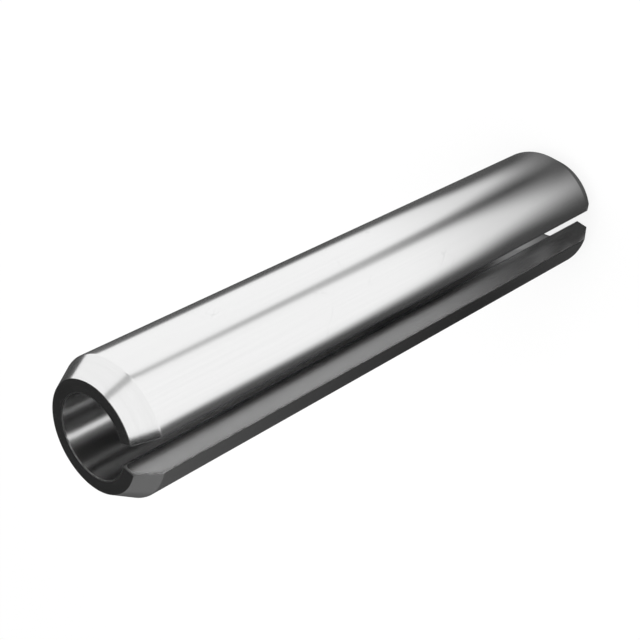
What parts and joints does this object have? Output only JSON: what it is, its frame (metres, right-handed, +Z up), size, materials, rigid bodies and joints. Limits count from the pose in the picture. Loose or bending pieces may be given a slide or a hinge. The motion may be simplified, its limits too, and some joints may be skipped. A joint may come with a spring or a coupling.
{
  "type": "slotted spring pin",
  "caption": "Straight slotted spring pin: a C-shaped tube of rolled spring steel, open along one side, with a tapered lead-in at each end. Driven into a hole, it grips by springing outwards.",
  "frame": {"origin": "on the pin's axis, in the plane of the lower end face", "axes": "+Z up the pin's axis from the lower end face to the upper one; the slot faces -Y; the pin is symmetric about the YZ plane"},
  "size_m": [0.004, 0.0039, 0.02],
  "materials": {
    "spring_steel": "tumbled bright spring steel, drawn lengthwise"
  },
  "bodies": {
    "root": {"spring_pin": "spring_steel"}
  },
  "joints": []
}
